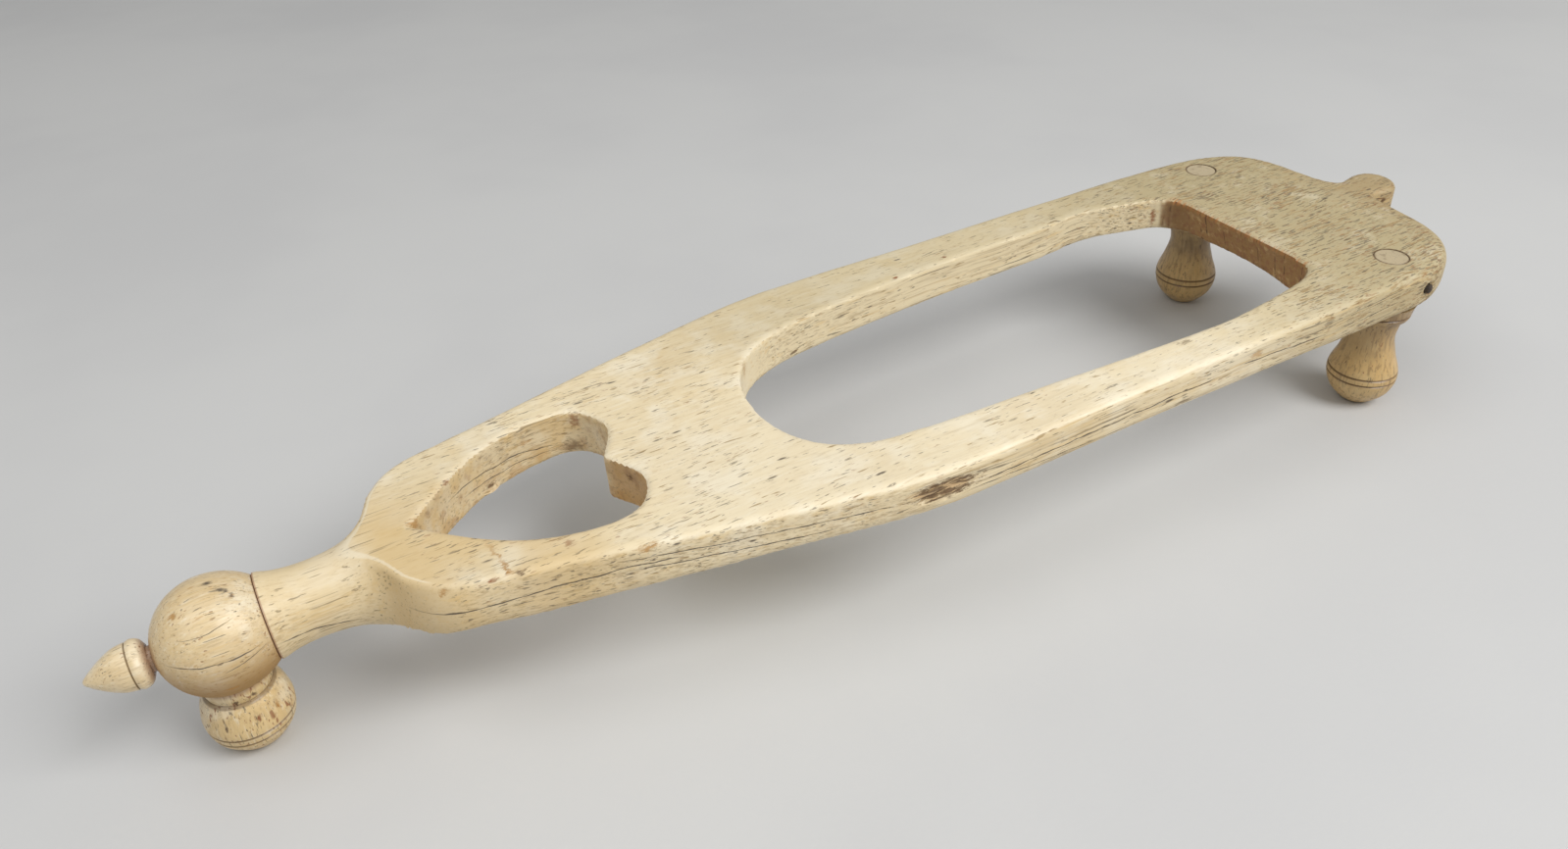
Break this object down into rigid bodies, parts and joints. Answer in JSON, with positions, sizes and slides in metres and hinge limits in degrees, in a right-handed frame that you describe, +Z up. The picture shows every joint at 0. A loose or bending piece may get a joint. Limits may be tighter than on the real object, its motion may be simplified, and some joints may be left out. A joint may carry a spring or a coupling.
{
  "type": "footed bone stand",
  "caption": "Low carved bone stand: a flat plank with a long window and a heart, turned into a round neck with ball and finial, carried on turned feet.",
  "frame": {"origin": "on the table, under the middle of the whole object's box", "axes": "+X along the plank from the finial to the lobed end, +Y to the left foot, +Z up"},
  "size_m": [0.3579, 0.0916, 0.045],
  "materials": {
    "bone_plank": "cream bone, hand-scraped and worn to a low polish, with dark pores and hairline cracks along its length",
    "bone_turned": "turned bone, browner than the plank, semi-gloss, with fine cracks and dark incised lines",
    "peg_wood": "nearly black end grain, dull"
  },
  "bodies": {
    "root": {"frame": "bone_plank", "ball": "bone_turned", "finial": "bone_turned", "front_foot": "bone_turned", "rear_left_foot": "bone_turned", "rear_right_foot": "bone_turned", "rear_left_peg": "peg_wood", "rear_right_peg": "peg_wood"}
  },
  "joints": []
}
